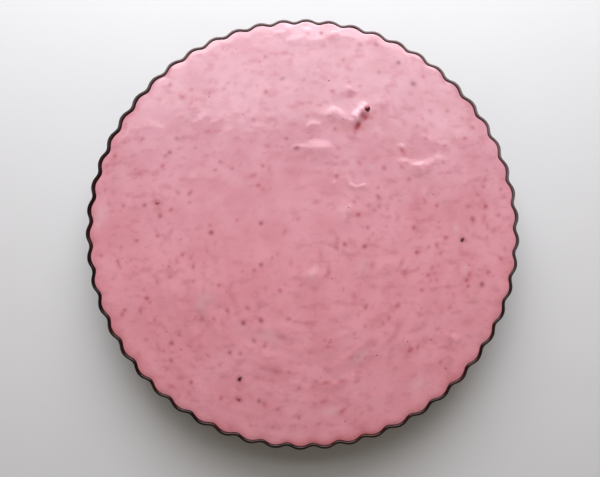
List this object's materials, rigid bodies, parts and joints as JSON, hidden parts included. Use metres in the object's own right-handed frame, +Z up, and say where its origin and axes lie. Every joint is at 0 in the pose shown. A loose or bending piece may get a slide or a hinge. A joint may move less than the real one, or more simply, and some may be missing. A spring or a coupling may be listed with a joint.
{
  "type": "berry cream cheese tart",
  "caption": "Round fluted tart tin filled to the rim with set pink berry cream cheese, specked with bits of fruit, with a berry half sunk in its top.",
  "frame": {"origin": "on the table under the middle of the tin's base", "axes": "+Z up out of the cream; +Y towards the side that lies uppermost when the tart is seen from above with the sunk berry in the upper right; +X to the right in that view"},
  "size_m": [0.2798, 0.28, 0.0316],
  "materials": {
    "tin": "dark brown-black non-stick coating, satin",
    "cream": "set pink berry cream, softly glossy, slightly translucent, specked with red and purple fruit",
    "berry": "wet dark purple berry skin"
  },
  "bodies": {
    "root": {"tart_tin": "tin", "berry_cream": "cream", "sunk_berry": "berry"}
  },
  "joints": []
}
